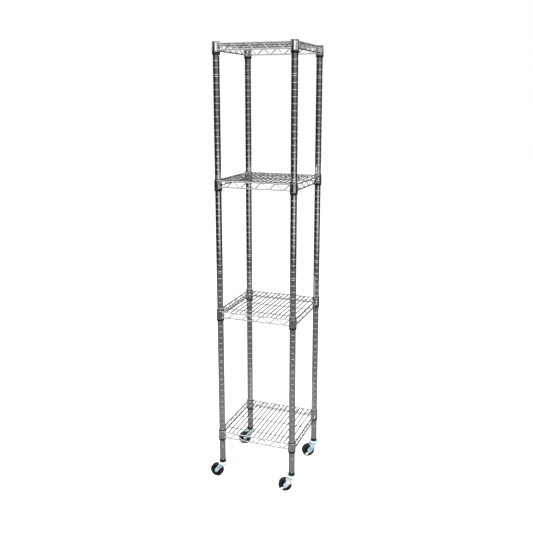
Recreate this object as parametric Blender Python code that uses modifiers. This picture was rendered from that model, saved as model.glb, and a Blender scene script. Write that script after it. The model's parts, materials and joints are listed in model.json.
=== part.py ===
"""Wire shelving rack: four grooved-post columns, four welded wire shelves on split sleeves, four stem casters."""

import math

import bmesh
import bpy
from mathutils import Matrix, Vector

# Driving dimensions, in metres. The posts' grooves are one inch apart, and every level counts from them.
INCH = 0.0254
GAP = 0.0003
SIDES = 16

POST_SPACING = 0.3162
POST_RADIUS = INCH / 2
POST_WALL = 0.0012
POST_BOTTOM = 0.0846
POST_LENGTH = 68.45 * INCH
POST_TOP = POST_BOTTOM + POST_LENGTH
FOOT_MARK_EXTRA = 0.25 * INCH
TOP_SEAT_BELOW_POST_TOP = 1.73 * INCH
SEAT_STEPS = {"top": 0, "upper": 20, "lower": 41, "bottom": 62}
SEAT_MARKS = {"top": 0, "upper": 2, "lower": 3, "bottom": 4}

CAP_RISE = 0.0018
CAP_DOME_INSET = 0.0020
CAP_SKIRT_DEPTH = 0.0140
CAP_SKIRT_WALL = 0.0015

COLLAR_ABOVE_SEAT = 1.6 * INCH
COLLAR_HEIGHT = 0.0355
COLLAR_RADIUS = 0.0160
COLLAR_WALL = 0.0014
SLEEVE_BELOW_SEAT = 0.0045
SLEEVE_ABOVE_COLLAR = 0.0008
SLEEVE_SLIT = 0.0020

RAIL_OFFSET = 6.6 * INCH
RAIL_THICKNESS = 0.0044
TOP_RAIL_BELOW_COLLAR = 0.0042
TRUSS_HEIGHT = 0.93 * INCH
BRACE_COUNT = 5
BRACE_PERIOD = 2.35 * INCH
BRACE_THICKNESS = 0.0030
DECK_WIRES = 16
DECK_WIRE_PITCH = 0.765 * INCH
DECK_WIRE_THICKNESS = 0.0027
DECK_BELOW_COLLAR = 0.0010
CROSS_WIRE_OFFSETS = (-4.45 * INCH, 0.0, 4.45 * INCH)
CROSS_WIRE_THICKNESS = 0.0040

INSERT_BOTTOM = 0.0708
INSERT_RADIUS = 0.0135
INSERT_PLUG_TOP = 0.1140
INSERT_TAPER_HEIGHT = 0.0050
INSERT_TAPER = 0.0045
STEM_RADIUS = 0.0048
STEM_TOP = 0.1100
CHAMFER = 0.0010
PLATE_RADIUS = 0.0205
PLATE_TOP = 0.0705
PLATE_BOTTOM = 0.0658
PLATE_FLAT_INSET = 0.0045
PLATE_SHOULDER_DROP = 0.0018
RACE_TOP = PLATE_BOTTOM - GAP
RACE_BOTTOM = 0.0636
RACE_RADIUS = 0.0190
CROWN_TOP = RACE_BOTTOM - GAP
CROWN_BOTTOM = 0.0613
CROWN_RADIUS = 0.0185
KINGPIN_RADIUS = 0.0037
KINGPIN_HEAD_RADIUS = 0.0060
KINGPIN_BOTTOM = 0.0600

WHEEL_RADIUS = 0.0280
WHEEL_WIDTH = 0.0200
WHEEL_TRAIL = 0.0270
WHEEL_SIDES = 20
HUB_SIDES = 12
RIM_RADIUS = 0.0180
RIM_WIDTH = 0.0150
RIM_LIP = 0.0030
TYRE_BEAD = 0.0025
TYRE_SHOULDER_DEPTH = 0.0025
TYRE_SHOULDER_WIDTH = 0.0030
HUB_BOSS_RADIUS = 0.0070
HUB_BOSS_WIDTH = 0.0220
AXLE_RADIUS = 0.0030
LEG_INNER = 0.0116
LEG_THICKNESS = 0.0020
LEG_TIP_RADIUS = 0.0075
LEG_TOP_FRONT = -0.0100
LEG_TOP_REAR = 0.0125
HEAD_RADIUS = 0.0056
HEAD_HEIGHT = 0.0038

PEDAL_PIVOT = (0.0150, 0.0450)
PEDAL_FOOT = (0.0450, 0.0180)
PEDAL_SHOE = (0.0200, 0.0578)
PEDAL_EYE_RADIUS = 0.0060
PEDAL_EYE_START, PEDAL_EYE_END = 75.0, 235.0
PEDAL_HEEL = (0.0255, 0.0190)
PEDAL_TIP_LOW = (0.0450, 0.0155)
PEDAL_TIP_HIGH = (0.0465, 0.0195)
PEDAL_UPPER_EDGE = ((0.0310, 0.0275), (0.0225, 0.0420))
PEDAL_SHOE_PLATE_HALF = 0.0030
PEDAL_SHOE_HALF = 0.0022
PEDAL_SHOE_REACH = 0.0020
PEDAL_FOOT_LENGTH = 0.0086
PEDAL_FOOT_END = 0.0004
PEDAL_THICKNESS = 0.0016
PEDAL_FOOT_WIDTH = 0.0100
PIVOT_RADIUS = 0.0025
PIVOT_HEAD_RADIUS = 0.0042
PIVOT_HEAD_HEIGHT = 0.0012
PIVOT_TAIL_RADIUS = 0.0034
PIVOT_TAIL_HEIGHT = 0.0008

# The post grid stands off the origin, because the casters trail to one side and widen the footprint there.
GRID_X = 0.01725
GRID_Y = 0.01012
CORNERS = {
    "front_left": (-1, -1, 180.0, False),
    "front_right": (1, -1, 196.0, True),
    "back_right": (1, 1, 215.0, True),
    "back_left": (-1, 1, 205.0, False),
}


def clear_scene():
    for obj in list(bpy.data.objects):
        bpy.data.objects.remove(obj, do_unlink=True)
    for name in ("wire_shelving_rack", "helpers"):
        bpy.context.scene.collection.children.link(bpy.data.collections.new(name))
    bpy.data.collections["helpers"].hide_render = True


def material(name, colour, metallic, roughness):
    made = bpy.data.materials.new(name)
    made.use_nodes = True
    shader = made.node_tree.nodes["Principled BSDF"]
    shader.inputs["Base Color"].default_value = (*colour, 1.0)
    shader.inputs["Metallic"].default_value = metallic
    shader.inputs["Roughness"].default_value = roughness
    return made


def add_object(name, data, group="wire_shelving_rack"):
    obj = bpy.data.objects.new(name, data)
    bpy.data.collections[group].objects.link(obj)
    if group == "helpers":
        obj.hide_render = True
        obj.display_type = "WIRE"
    return obj


def mesh_of(build, name):
    """A mesh made by build(bm), faces pointing out."""
    bm = bmesh.new()
    build(bm)
    bmesh.ops.recalc_face_normals(bm, faces=bm.faces)
    mesh = bpy.data.meshes.new(name)
    bm.to_mesh(mesh)
    bm.free()
    return mesh


def box_mesh(name, low, high):
    size = Vector(high) - Vector(low)
    middle = (Vector(high) + Vector(low)) / 2
    place = Matrix.Translation(middle) @ Matrix.Diagonal((*size, 1.0))
    return mesh_of(lambda bm: bmesh.ops.create_cube(bm, size=1.0, matrix=place), name)


def cylinder_mesh(name, radius, low, high, axis="Z", centre=(0, 0, 0), sides=SIDES):
    turn = Matrix.Rotation(math.radians(90), 4, "X") if axis == "Y" else Matrix.Identity(4)
    along = Vector((0, 0, (low + high) / 2)) if axis == "Z" else Vector((0, (low + high) / 2, 0))
    place = Matrix.Translation(Vector(centre) + along) @ turn

    def build(bm):
        bmesh.ops.create_cone(
            bm, cap_ends=True, segments=sides, radius1=radius, radius2=radius, depth=high - low, matrix=place
        )

    return mesh_of(build, name)


def turned_mesh(name, profile, sides=SIDES, degrees=360.0):
    """The solid that a closed (radius, height) outline sweeps about Z; points on the axis make it solid there."""
    mesh = bpy.data.meshes.new(name + "_profile")
    points = [(radius, 0.0, height) for radius, height in profile]
    on_axis = profile[0][0] == 0.0
    edges = [(i, i + 1) for i in range(len(points) - 1)]
    if not on_axis:
        edges.append((len(points) - 1, 0))
    mesh.from_pydata(points, edges, [])
    helper = add_object(name + "_profile", mesh, "helpers")
    screw = helper.modifiers.new("turn", "SCREW")
    screw.angle = math.radians(degrees)
    screw.steps = sides
    screw.render_steps = sides
    screw.use_merge_vertices = True
    screw.merge_threshold = 0.00005
    return baked(helper, name)


def baked(obj, name):
    """The evaluated mesh of a helper, which is then removed."""
    bpy.context.view_layer.update()
    graph = bpy.context.evaluated_depsgraph_get()
    mesh = bpy.data.meshes.new_from_object(obj.evaluated_get(graph))
    mesh.transform(obj.matrix_world)
    mesh.name = name
    bpy.data.objects.remove(obj, do_unlink=True)
    bm = bmesh.new()
    bm.from_mesh(mesh)
    bmesh.ops.remove_doubles(bm, verts=bm.verts, dist=0.00001)
    bmesh.ops.recalc_face_normals(bm, faces=bm.faces)
    bm.to_mesh(mesh)
    bm.free()
    return mesh


def plate_mesh(name, outlines, thickness):
    """A flat plate in the XY plane, centred on it; the first outline is its edge and the others are its holes."""
    curve = bpy.data.curves.new(name + "_outline", "CURVE")
    curve.dimensions = "2D"
    curve.fill_mode = "BOTH"
    curve.extrude = thickness / 2
    for outline in outlines:
        spline = curve.splines.new("POLY")
        spline.points.add(len(outline) - 1)
        for point, (x, y) in zip(spline.points, outline):
            point.co = (x, y, 0.0, 1.0)
        spline.use_cyclic_u = True
    return baked(add_object(name + "_outline", curve, "helpers"), name)


def combined(name, base, joined=(), cut=()):
    """One mesh: base with the joined meshes united to it and the cut meshes taken away."""
    helper = add_object(name + "_base", base, "helpers")
    tools = []
    for operation, meshes in (("UNION", joined), ("DIFFERENCE", cut)):
        for index, mesh in enumerate(meshes):
            tool = add_object(f"{name}_{operation.lower()}_{index}", mesh, "helpers")
            tools.append(tool)
            modifier = helper.modifiers.new(tool.name, "BOOLEAN")
            modifier.operation = operation
            modifier.solver = "EXACT"
            modifier.object = tool
    mesh = baked(helper, name)
    for tool in tools:
        bpy.data.objects.remove(tool, do_unlink=True)
    return mesh


def arc(centre, radius, start, end, steps):
    """Points on an arc, in degrees, both ends included."""
    points = []
    for step in range(steps + 1):
        angle = math.radians(start + (end - start) * step / steps)
        points.append((centre[0] + radius * math.cos(angle), centre[1] + radius * math.sin(angle)))
    return points


def upright(mesh, turn_degrees=0.0, shift=(0, 0, 0)):
    """Stands a plate of the XY plane up in the XZ plane, turns it about Z and shifts it."""
    stand = Matrix.Rotation(math.radians(90), 4, "X")
    turn = Matrix.Rotation(math.radians(turn_degrees), 4, "Z")
    mesh.transform(Matrix.Translation(Vector(shift)) @ turn @ stand)
    return mesh


def seat_height(shelf):
    """A shelf's seat groove, counted down from the top shelf's seat."""
    drop = SEAT_STEPS[shelf] * INCH + SEAT_MARKS[shelf] * FOOT_MARK_EXTRA
    return POST_TOP - TOP_SEAT_BELOW_POST_TOP - drop


def post_mesh():
    inner = POST_RADIUS - POST_WALL
    profile = [(inner, POST_BOTTOM), (inner, POST_TOP), (POST_RADIUS, POST_TOP), (POST_RADIUS, POST_BOTTOM)]
    return turned_mesh("post", profile)


def cap_mesh():
    """A plug cap: a low dome on the post's rim with a hollow skirt inside the tube."""
    rim = POST_TOP + GAP
    skirt = POST_RADIUS - POST_WALL - GAP
    profile = [
        (0.0, rim + CAP_RISE),
        (POST_RADIUS - CAP_DOME_INSET, rim + CAP_RISE),
        (POST_RADIUS, rim),
        (skirt, rim),
        (skirt, rim - CAP_SKIRT_DEPTH),
        (skirt - CAP_SKIRT_WALL, rim - CAP_SKIRT_DEPTH),
        (skirt - CAP_SKIRT_WALL, rim),
        (0.0, rim),
    ]
    return turned_mesh("post_cap", profile)


def sleeve_mesh():
    """A split sleeve, seen from its seat; it fills the collar's bore, and its slit faces the shelf's middle."""
    low = -SLEEVE_BELOW_SEAT
    high = COLLAR_ABOVE_SEAT + SLEEVE_ABOVE_COLLAR
    inner = POST_RADIUS + GAP
    outer = COLLAR_RADIUS - COLLAR_WALL - GAP
    profile = [
        (inner, low),
        (inner, high),
        (outer, high),
        (outer, low),
    ]
    whole = turned_mesh("sleeve_ring", profile)
    half = SLEEVE_SLIT / 2
    slit = box_mesh("sleeve_slit", (0.0, -half, low - 0.01), (COLLAR_RADIUS * 2, half, high + 0.01))
    return combined("sleeve", whole, cut=[slit])


def truss_mesh(name):
    """One side of a shelf: top and lower rail with a zigzag brace between them, as one cut plate."""
    half = POST_SPACING / 2
    rail = RAIL_THICKNESS / 2
    edge = [(-half, -TRUSS_HEIGHT - rail), (half, -TRUSS_HEIGHT - rail), (half, rail), (-half, rail)]
    rise = TRUSS_HEIGHT - RAIL_THICKNESS
    run = BRACE_PERIOD / 2
    bar = BRACE_THICKNESS * math.hypot(run, rise) / rise / 2
    clear_of_collar = half - COLLAR_RADIUS
    holes = []
    for node in range(-BRACE_COUNT, BRACE_COUNT + 1):
        middle = node * run
        apex_up = (node + BRACE_COUNT) % 2 == 0
        base = -TRUSS_HEIGHT + rail if apex_up else -rail
        up = 1 if apex_up else -1
        left = middle - run + bar
        right = middle + run - bar
        if node == -BRACE_COUNT:
            left = -clear_of_collar
            holes.append([(left, base), (right, base), (left, base + up * rise * (right - left) / run)])
        elif node == BRACE_COUNT:
            right = clear_of_collar
            holes.append([(left, base), (right, base), (right, base + up * rise * (right - left) / run)])
        else:
            holes.append([(left, base), (right, base), (middle, base + up * rise * (right - middle) / run)])
    return plate_mesh(name, [edge, *holes], RAIL_THICKNESS * 0.9)


def shelf_mesh():
    """A welded shelf, seen from its collars' tops: four collars, four trusses, the deck wires and the cross wires."""
    half = POST_SPACING / 2
    rail_level = -TOP_RAIL_BELOW_COLLAR
    joined = []
    for turn in (0, 90, 180, 270):
        angle = math.radians(turn)
        shift = (RAIL_OFFSET * math.sin(angle), -RAIL_OFFSET * math.cos(angle), rail_level)
        joined.append(upright(truss_mesh(f"truss_{turn}"), turn, shift))
    reach = RAIL_OFFSET
    deck_high = -DECK_BELOW_COLLAR
    deck_low = deck_high - DECK_WIRE_THICKNESS
    wire = DECK_WIRE_THICKNESS / 2
    for index in range(DECK_WIRES):
        x = (index - (DECK_WIRES - 1) / 2) * DECK_WIRE_PITCH
        joined.append(box_mesh(f"deck_wire_{index}", (x - wire, -reach, deck_low), (x + wire, reach, deck_high)))
    cross_high = deck_low - GAP
    cross_low = cross_high - CROSS_WIRE_THICKNESS
    cross = CROSS_WIRE_THICKNESS / 2
    for index, y in enumerate(CROSS_WIRE_OFFSETS):
        low = (-reach, y - cross, cross_low)
        high = (reach, y + cross, cross_high)
        joined.append(box_mesh(f"cross_wire_{index}", low, high))
    bores = []
    posts = [(x * half, y * half) for x in (-1, 1) for y in (-1, 1)]
    for index, (x, y) in enumerate(posts):
        place = (x, y, 0.0)
        joined.append(cylinder_mesh(f"collar_{index}", COLLAR_RADIUS, -COLLAR_HEIGHT, 0.0, centre=place))
        bore = COLLAR_RADIUS - COLLAR_WALL
        bores.append(cylinder_mesh(f"bore_{index}", bore, -2 * COLLAR_HEIGHT, COLLAR_HEIGHT, centre=place))
    return combined("shelf", joined[0], joined[1:], bores)


def insert_mesh():
    """A cup under the post's end with a plug inside the tube and a blind bore for the caster's stem."""
    plug = POST_RADIUS - POST_WALL - GAP
    shoulder = POST_BOTTOM - GAP
    bore = STEM_RADIUS + GAP
    profile = [
        (0.0, INSERT_PLUG_TOP),
        (plug, INSERT_PLUG_TOP),
        (plug, shoulder),
        (INSERT_RADIUS, shoulder),
        (INSERT_RADIUS, INSERT_BOTTOM + INSERT_TAPER_HEIGHT),
        (INSERT_RADIUS - INSERT_TAPER, INSERT_BOTTOM),
        (bore, INSERT_BOTTOM),
        (bore, STEM_TOP + GAP),
        (0.0, STEM_TOP + GAP),
    ]
    return turned_mesh("foot_insert", profile)


def stem_mesh():
    """The caster's fixed top: stem, domed race plate and kingpin with its riveted head."""
    profile = [
        (0.0, STEM_TOP),
        (STEM_RADIUS - CHAMFER, STEM_TOP),
        (STEM_RADIUS, STEM_TOP - CHAMFER),
        (STEM_RADIUS, PLATE_TOP),
        (PLATE_RADIUS - PLATE_FLAT_INSET, PLATE_TOP),
        (PLATE_RADIUS - CHAMFER, PLATE_TOP - PLATE_SHOULDER_DROP),
        (PLATE_RADIUS, PLATE_BOTTOM),
        (KINGPIN_RADIUS, PLATE_BOTTOM),
        (KINGPIN_RADIUS, CROWN_BOTTOM - GAP),
        (KINGPIN_HEAD_RADIUS, CROWN_BOTTOM - GAP),
        (KINGPIN_HEAD_RADIUS - CHAMFER, KINGPIN_BOTTOM),
        (0.0, KINGPIN_BOTTOM),
    ]
    return turned_mesh("caster_stem", profile)


def race_mesh():
    inner = KINGPIN_RADIUS + GAP
    profile = [
        (inner, RACE_BOTTOM),
        (inner, RACE_TOP),
        (RACE_RADIUS - CHAMFER, RACE_TOP),
        (RACE_RADIUS, RACE_BOTTOM),
    ]
    return turned_mesh("swivel_race", profile)


def fork_mesh(braked):
    """Crown disc and two legs that taper to a tip round the axle; a braked fork has a pivot hole in one leg."""
    top = (CROWN_TOP + CROWN_BOTTOM) / 2
    tip = (WHEEL_TRAIL, WHEEL_RADIUS)
    outline = [(LEG_TOP_REAR, top), (LEG_TOP_FRONT, top)] + arc(tip, LEG_TIP_RADIUS, 205.0, 400.0, 7)
    legs = []
    for side in (-1, 1):
        middle = side * (LEG_INNER + LEG_THICKNESS / 2)
        legs.append(upright(plate_mesh(f"leg_{side}", [outline], LEG_THICKNESS), 0.0, (0, middle, 0)))
    crown = cylinder_mesh("crown", CROWN_RADIUS, CROWN_BOTTOM, CROWN_TOP)
    king_hole = cylinder_mesh("king_hole", KINGPIN_RADIUS + GAP, CROWN_BOTTOM - 0.01, CROWN_TOP + 0.01)
    across = 2 * LEG_INNER
    axle_hole = cylinder_mesh(
        "axle_hole", AXLE_RADIUS + GAP, -across, across, "Y", (WHEEL_TRAIL, 0, WHEEL_RADIUS), sides=12
    )
    holes = [king_hole, axle_hole]
    if braked:
        centre = (PEDAL_PIVOT[0], LEG_INNER, PEDAL_PIVOT[1])
        holes.append(cylinder_mesh("pivot_hole", PIVOT_RADIUS + GAP, -0.005, 0.005, "Y", centre, sides=12))
    return combined("caster_fork", crown, legs, holes)


def wheel_profile_mesh(name, profile, sides):
    """A piece turned about the axle, from a (radius, across) outline, in the fork's frame."""
    mesh = turned_mesh(name, profile, sides)
    mesh.transform(Matrix.Rotation(math.radians(90), 4, "X"))
    return mesh


def axle_mesh():
    """The axle bolt with its head on one side and its nut on the other."""
    face = LEG_INNER + LEG_THICKNESS + GAP
    end = face + HEAD_HEIGHT
    profile = [
        (0.0, end),
        (HEAD_RADIUS - CHAMFER, end),
        (HEAD_RADIUS, end - CHAMFER),
        (HEAD_RADIUS, face),
        (AXLE_RADIUS, face),
        (AXLE_RADIUS, -face),
        (HEAD_RADIUS, -face),
        (HEAD_RADIUS, -end),
        (0.0, -end),
    ]
    return wheel_profile_mesh("caster_axle", profile, 12)


def hub_mesh():
    bore = AXLE_RADIUS + GAP
    boss = HUB_BOSS_WIDTH / 2
    rim = RIM_WIDTH / 2
    profile = [
        (bore, -boss),
        (bore, boss),
        (HUB_BOSS_RADIUS, boss),
        (HUB_BOSS_RADIUS + CHAMFER, rim - RIM_LIP),
        (RIM_RADIUS - RIM_LIP, rim - RIM_LIP),
        (RIM_RADIUS, rim),
        (RIM_RADIUS, -rim),
        (RIM_RADIUS - RIM_LIP, -rim + RIM_LIP),
        (HUB_BOSS_RADIUS + CHAMFER, -rim + RIM_LIP),
        (HUB_BOSS_RADIUS, -boss),
    ]
    return wheel_profile_mesh("wheel_hub", profile, HUB_SIDES)


def tyre_mesh():
    inner = RIM_RADIUS + GAP
    half = WHEEL_WIDTH / 2
    rim = RIM_WIDTH / 2
    profile = [
        (inner, -rim),
        (inner, rim),
        (inner + TYRE_BEAD, half),
        (WHEEL_RADIUS - TYRE_SHOULDER_DEPTH, half),
        (WHEEL_RADIUS, half - TYRE_SHOULDER_WIDTH),
        (WHEEL_RADIUS, -half + TYRE_SHOULDER_WIDTH),
        (WHEEL_RADIUS - TYRE_SHOULDER_DEPTH, -half),
        (inner + TYRE_BEAD, -half),
    ]
    return wheel_profile_mesh("wheel_tyre", profile, WHEEL_SIDES)


def pedal_inner():
    """How far out the pedal's plate lies, just past the axle's head."""
    return LEG_INNER + LEG_THICKNESS + GAP + HEAD_HEIGHT + GAP


def pedal_mesh():
    """A side blade on a pivot, with a shoe over the tread and a foot tab low at the trailing end."""
    inner = pedal_inner()
    outer = inner + PEDAL_THICKNESS
    foot, shoe = PEDAL_FOOT, PEDAL_SHOE
    half = PEDAL_THICKNESS / 2
    outline = arc(PEDAL_PIVOT, PEDAL_EYE_RADIUS, PEDAL_EYE_START, PEDAL_EYE_END, 5)
    outline += [PEDAL_HEEL, PEDAL_TIP_LOW, PEDAL_TIP_HIGH, *PEDAL_UPPER_EDGE]
    outline += [(shoe[0] + PEDAL_SHOE_PLATE_HALF, shoe[1] + half), (shoe[0] - PEDAL_SHOE_PLATE_HALF, shoe[1] + half)]
    plate = upright(plate_mesh("pedal_plate", [outline], PEDAL_THICKNESS), 0.0, (0, (inner + outer) / 2, 0))
    shoe_tab = box_mesh(
        "pedal_shoe",
        (shoe[0] - PEDAL_SHOE_HALF, -WHEEL_WIDTH / 2 + PEDAL_SHOE_REACH, shoe[1] - half),
        (shoe[0] + PEDAL_SHOE_HALF, inner + half, shoe[1] + half * 0.9),
    )
    foot_tab = box_mesh(
        "pedal_foot",
        (foot[0] - PEDAL_FOOT_LENGTH, inner + half, foot[1] - half * 0.9),
        (foot[0] - PEDAL_FOOT_END, outer + PEDAL_FOOT_WIDTH, foot[1] + half),
    )
    centre = (PEDAL_PIVOT[0], (inner + outer) / 2, PEDAL_PIVOT[1])
    hole = cylinder_mesh("pedal_hole", PIVOT_RADIUS + GAP, -0.01, 0.01, "Y", centre, sides=12)
    return combined("brake_pedal", plate, [shoe_tab, foot_tab], [hole])


def pivot_mesh():
    """The shouldered rivet that holds the pedal off the fork's leg, from its pivot on the wheel's midplane."""
    leg_face = LEG_INNER + LEG_THICKNESS + GAP
    plate_face = pedal_inner() - GAP
    shoulder = PIVOT_HEAD_RADIUS
    end = plate_face + PEDAL_THICKNESS + 2 * GAP
    profile = [
        (0.0, end + PIVOT_HEAD_HEIGHT),
        (shoulder - CHAMFER, end + PIVOT_HEAD_HEIGHT),
        (shoulder, end),
        (PIVOT_RADIUS, end),
        (PIVOT_RADIUS, plate_face),
        (shoulder, plate_face),
        (shoulder, leg_face),
        (PIVOT_RADIUS, leg_face),
        (PIVOT_RADIUS, LEG_INNER - GAP),
        (PIVOT_TAIL_RADIUS, LEG_INNER - GAP),
        (PIVOT_TAIL_RADIUS, LEG_INNER - GAP - PIVOT_TAIL_HEIGHT),
        (0.0, LEG_INNER - GAP - PIVOT_TAIL_HEIGHT),
    ]
    mesh = wheel_profile_mesh("brake_pivot", profile, 12)
    mesh.transform(Matrix.Rotation(math.radians(180), 4, "X"))
    return mesh


def place(name, mesh, surface, location, turn_degrees=0.0, parent=None):
    """A named part with its own copy of the mesh, shaded smooth across its round faces."""
    data = mesh.copy()
    data.name = name
    data.materials.clear()
    data.materials.append(surface)
    data.shade_smooth()
    data.set_sharp_from_angle(angle=math.radians(35))
    obj = add_object(name, data)
    obj.parent = parent
    obj.location = location
    obj.rotation_euler = (0.0, 0.0, math.radians(turn_degrees))
    return obj


def hub_frame(name, parent, location):
    """An empty on a joint's axis, in its parent's frame."""
    empty = add_object(name, None)
    empty.parent = parent
    empty.location = location
    return empty


def build_columns(surfaces):
    post, cap, sleeve, shelf = post_mesh(), cap_mesh(), sleeve_mesh(), shelf_mesh()
    half = POST_SPACING / 2
    for corner, (side_x, side_y, _, _) in CORNERS.items():
        axis = (GRID_X + side_x * half, GRID_Y + side_y * half, 0.0)
        inward = math.degrees(math.atan2(-side_y, -side_x))
        place(f"post_{corner}", post, surfaces["chrome"], axis)
        place(f"post_cap_{corner}", cap, surfaces["cap"], axis)
        for level in SEAT_STEPS:
            seat = (axis[0], axis[1], seat_height(level))
            place(f"sleeve_{level}_{corner}", sleeve, surfaces["sleeve"], seat, inward)
    for level in SEAT_STEPS:
        collar_top = seat_height(level) + COLLAR_ABOVE_SEAT
        place(f"shelf_{level}", shelf, surfaces["chrome"], (GRID_X, GRID_Y, collar_top))


def build_casters(surfaces):
    insert, stem, race = insert_mesh(), stem_mesh(), race_mesh()
    forks = {braked: fork_mesh(braked) for braked in (False, True)}
    axle, hub, tyre = axle_mesh(), hub_mesh(), tyre_mesh()
    pedal, pivot = pedal_mesh(), pivot_mesh()
    half = POST_SPACING / 2
    wheel_centre = (WHEEL_TRAIL, 0.0, WHEEL_RADIUS)
    pivot_point = (PEDAL_PIVOT[0], 0.0, PEDAL_PIVOT[1])
    for corner, (side_x, side_y, heading, braked) in CORNERS.items():
        axis = (GRID_X + side_x * half, GRID_Y + side_y * half, 0.0)
        place(f"foot_insert_{corner}", insert, surfaces["insert"], axis)
        place(f"caster_stem_{corner}", stem, surfaces["zinc"], axis)
        swivel = hub_frame(f"swivel_{corner}", None, axis)
        swivel.rotation_euler = (0.0, 0.0, math.radians(heading))
        place(f"swivel_race_{corner}", race, surfaces["zinc"], (0, 0, 0), parent=swivel)
        place(f"caster_fork_{corner}", forks[braked], surfaces["fork"], (0, 0, 0), parent=swivel)
        spin = hub_frame(f"wheel_{corner}", swivel, wheel_centre)
        place(f"caster_axle_{corner}", axle, surfaces["zinc"], wheel_centre, parent=swivel)
        place(f"wheel_hub_{corner}", hub, surfaces["hub"], (0, 0, 0), parent=spin)
        place(f"wheel_tyre_{corner}", tyre, surfaces["tyre"], (0, 0, 0), parent=spin)
        if not braked:
            continue
        place(f"brake_pivot_{corner}", pivot, surfaces["zinc"], pivot_point, parent=swivel)
        lever = place(f"brake_pedal_{corner}", pedal, surfaces["fork"], pivot_point, parent=swivel)
        lever.data.transform(Matrix.Translation(-Vector(pivot_point)))


def main():
    clear_scene()
    surfaces = {
        "chrome": material("chrome", (0.62, 0.63, 0.65), 1.0, 0.18),
        "cap": material("cap_plastic", (0.30, 0.31, 0.32), 0.0, 0.45),
        "sleeve": material("sleeve_plastic", (0.012, 0.012, 0.013), 0.0, 0.40),
        "insert": material("insert_plastic", (0.010, 0.010, 0.011), 0.0, 0.45),
        "zinc": material("zinc_plate", (0.70, 0.74, 0.76), 1.0, 0.30),
        "fork": material("fork_steel", (0.78, 0.80, 0.82), 1.0, 0.22),
        "hub": material("hub_plastic", (0.015, 0.015, 0.015), 0.0, 0.50),
        "tyre": material("tyre_rubber", (0.020, 0.018, 0.016), 0.0, 0.65),
    }
    build_columns(surfaces)
    build_casters(surfaces)


main()
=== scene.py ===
"""Looks of the wire shelving rack: chromed grooved posts, welded wire shelves, split sleeves and stem casters."""

import json
import math

import bmesh
import bpy
from mathutils import Matrix, Vector


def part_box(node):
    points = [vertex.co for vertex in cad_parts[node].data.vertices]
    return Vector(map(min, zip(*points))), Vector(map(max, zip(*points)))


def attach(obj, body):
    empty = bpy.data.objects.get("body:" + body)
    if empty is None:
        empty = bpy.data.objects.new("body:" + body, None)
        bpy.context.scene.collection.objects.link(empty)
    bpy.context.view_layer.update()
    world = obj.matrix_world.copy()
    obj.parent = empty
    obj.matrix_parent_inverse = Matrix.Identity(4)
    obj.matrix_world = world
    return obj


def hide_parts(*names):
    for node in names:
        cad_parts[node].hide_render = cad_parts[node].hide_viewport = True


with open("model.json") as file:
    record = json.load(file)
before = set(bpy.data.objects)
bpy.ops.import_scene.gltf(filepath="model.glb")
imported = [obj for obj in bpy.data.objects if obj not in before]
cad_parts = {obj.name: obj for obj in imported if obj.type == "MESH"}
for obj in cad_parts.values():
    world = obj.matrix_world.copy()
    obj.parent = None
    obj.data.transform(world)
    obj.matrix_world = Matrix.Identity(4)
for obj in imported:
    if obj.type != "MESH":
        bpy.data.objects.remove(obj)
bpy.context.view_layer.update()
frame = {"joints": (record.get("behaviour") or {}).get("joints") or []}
CORNERS = ("front_left", "front_right", "back_right", "back_left")
BRAKED = ("front_right", "back_right")
LEVELS = ("top", "upper", "lower", "bottom")

MM = 0.001
INCH = 0.0254

# Posts: every groove is counted down from the first double groove.
POST_SIDES = 48
GROOVE_DEPTH = 0.50 * MM
GROOVE_HALF_WIDTH = 1.15 * MM
GROOVE_STEPS = 8
FIRST_MARK_BELOW_TOP = 4.73 * INCH
GROOVES_ABOVE_MARK = 4
LAST_GROOVE = 60
GROOVES_PER_MARK = 15
MARK_EXTRA = 0.25 * INCH
MARK_PAIR = 0.31 * INCH

# Shelves, seen from the collars' tops.
RAIL_RADIUS = 2.7 * MM
RAIL_OFFSET = 6.6 * INCH
TOP_RAIL_Z = -4.2 * MM
TRUSS_HEIGHT = 0.93 * INCH
BRACE_RADIUS = 1.9 * MM
BRACE_COUNT = 5
BRACE_PERIOD = 2.35 * INCH
DECK_RADIUS = 2.1 * MM
DECK_WIRES = 16
DECK_PITCH = 0.765 * INCH
DECK_Z = -2.4 * MM
CROSS_RADIUS = 2.1 * MM
CROSS_OFFSETS = (-4.45 * INCH, 0.0, 4.45 * INCH)
COLLAR_SIDES = 64

# Casters, seen from the swivel axis at the floor, with the wheel trailing along +X.
WHEEL_TRAIL = 27.0 * MM
LEG_INNER = 11.6 * MM
LEG_THICKNESS = 2.0 * MM
PEDAL_PIVOT = (15.0 * MM, 45.0 * MM)
PEDAL_FOOT = (45.0 * MM, 18.0 * MM)
PEDAL_SHOE = (20.0 * MM, 57.8 * MM)
PLATE_TOP = 70.5 * MM
PLATE_BOTTOM = 65.8 * MM
CROWN_TOP = 63.3 * MM
CROWN_BOTTOM = 61.3 * MM


# ---------------------------------------------------------------- mesh helpers


def lathe(bm, profile, sides, turn=Matrix.Identity(4), start=0.0, sweep=360.0):
    """Turns a closed (radius, height) outline about Z. A partial sweep gets flat end faces."""
    whole = sweep >= 360.0
    columns = []
    for step in range(sides if whole else sides + 1):
        angle = math.radians(start + sweep * step / sides)
        column = []
        for radius, height in profile:
            point = Vector((radius * math.cos(angle), radius * math.sin(angle), height))
            column.append(bm.verts.new(turn @ point))
        columns.append(column)
    pairs = list(zip(columns, columns[1:] + columns[:1])) if whole else list(zip(columns, columns[1:]))
    count = len(profile)
    for here, there in pairs:
        for i in range(count):
            j = (i + 1) % count
            if profile[i][0] == 0.0 and profile[j][0] == 0.0:
                continue
            bm.faces.new((here[i], there[i], there[j], here[j]))
    if not whole:
        bm.faces.new(columns[0])
        bm.faces.new(list(reversed(columns[-1])))


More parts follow.
